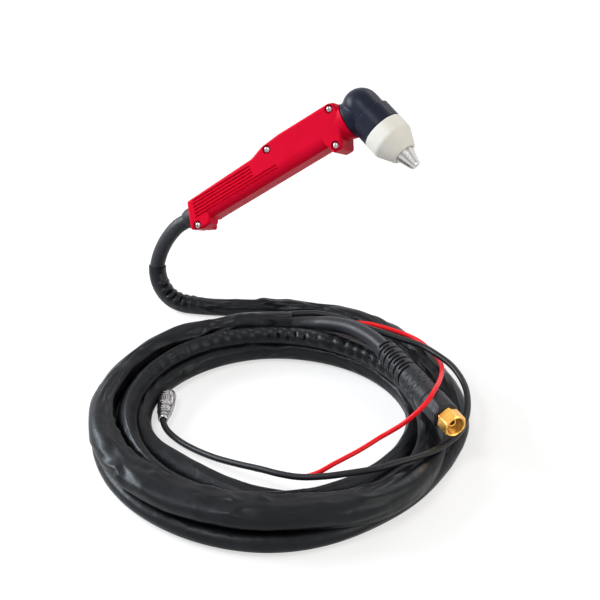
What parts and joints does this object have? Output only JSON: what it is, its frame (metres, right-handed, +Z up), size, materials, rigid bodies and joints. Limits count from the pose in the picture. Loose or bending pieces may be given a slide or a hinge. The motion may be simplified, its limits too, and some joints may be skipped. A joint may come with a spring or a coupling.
{
  "type": "plasma cutting torch with lead",
  "caption": "Hand plasma torch with a red handle and angled ceramic-cupped head, and a jacketed hose coiled on the floor that ends in a union nut, a control plug and a pilot wire.",
  "frame": {"origin": "middle of the operator's grasp on the handle, half way between the two handle halves", "axes": "+Z up, +X towards the head's side, +Y to the back of the coil; the handle rises towards +X at about 36 degrees and is rolled 50 degrees about its own length, as it is held in the picture"},
  "size_m": [0.3168, 0.3643, 0.2292],
  "materials": {
    "red_plastic": "semi-gloss injection-moulded red plastic",
    "white_plastic": "smooth white plastic",
    "grey_plastic": "matt dark grey plastic",
    "head_black": "satin blue-black heat-resistant plastic",
    "ceramic": "smooth off-white ceramic, unglazed",
    "swirl_ceramic": "grey ceramic",
    "plated_copper": "nickel-plated copper, turned and polished",
    "copper": "bare copper, turned",
    "brass": "machined bare brass",
    "steel": "zinc or nickel plated steel",
    "hose_rubber": "smooth black rubber, slight sheen",
    "jacket_leather": "black synthetic leather, creased, soft sheen",
    "boot_rubber": "matt black rubber",
    "cable_black": "black cable sheath",
    "wire_red": "glossy red wire insulation"
  },
  "bodies": {
    "torch": {"handle_near_half": "red_plastic", "handle_far_half": "red_plastic", "handle_screw_1": "steel", "handle_screw_2": "steel", "handle_screw_3": "steel", "handle_screw_4": "steel", "switch_body": "grey_plastic", "switch_wire": "cable_black", "head_insulator": "head_black", "head_core": "brass", "electrode": "copper", "swirl_ring": "swirl_ceramic", "nozzle_tip": "plated_copper", "head_seal": "boot_rubber", "rear_bush": "boot_rubber", "hose_tail": "hose_rubber", "hose_ferrule": "steel", "hose_coupling": "brass", "tube_nut": "brass", "gas_tube": "copper", "hose_torch_stretch": "hose_rubber", "jacket_coil": "jacket_leather", "jacket_snap": "steel", "hose_connector_stretch": "hose_rubber", "connector_boot": "boot_rubber", "connector_body": "boot_rubber", "connector_nipple": "brass", "control_cable": "cable_black", "plug_clamp": "steel", "plug_shell": "steel", "plug_insert": "grey_plastic", "plug_pin_1": "brass", "plug_pin_2": "brass", "pilot_wire": "wire_red", "pilot_terminal": "steel"},
    "trigger": {"trigger_button": "white_plastic", "switch_plunger": "white_plastic"},
    "cup": {"shield_cup": "ceramic", "cup_insert": "brass"},
    "union_nut": {"union_nut": "brass"},
    "plug_ring": {"plug_ring": "steel"}
  },
  "joints": [
    {"name": "trigger_press", "type": "slide", "parent": "torch", "child": "trigger", "axis": [0.41, -0.6702, -0.6187], "range_m": [0, 0.0022], "stiffness_N_per_m": 900, "springref_m": -0.0008},
    {"name": "cup_unscrew", "type": "hinge", "parent": "torch", "child": "cup", "pos_m": [0.11624, -0.01989, 0.0656], "axis": [0.6239, -0.6556, -0.4254], "range_deg": [0, 1080]},
    {"name": "union_nut_spin", "type": "hinge", "parent": "torch", "child": "union_nut", "pos_m": [0.16832, -0.23411, -0.09], "axis": [0.4509, -0.8926, 0], "continuous": true},
    {"name": "plug_ring_spin", "type": "hinge", "parent": "torch", "child": "plug_ring", "pos_m": [-0.07332, -0.16254, -0.1263], "axis": [0.0593, 0.9982, 0], "continuous": true}
  ]
}
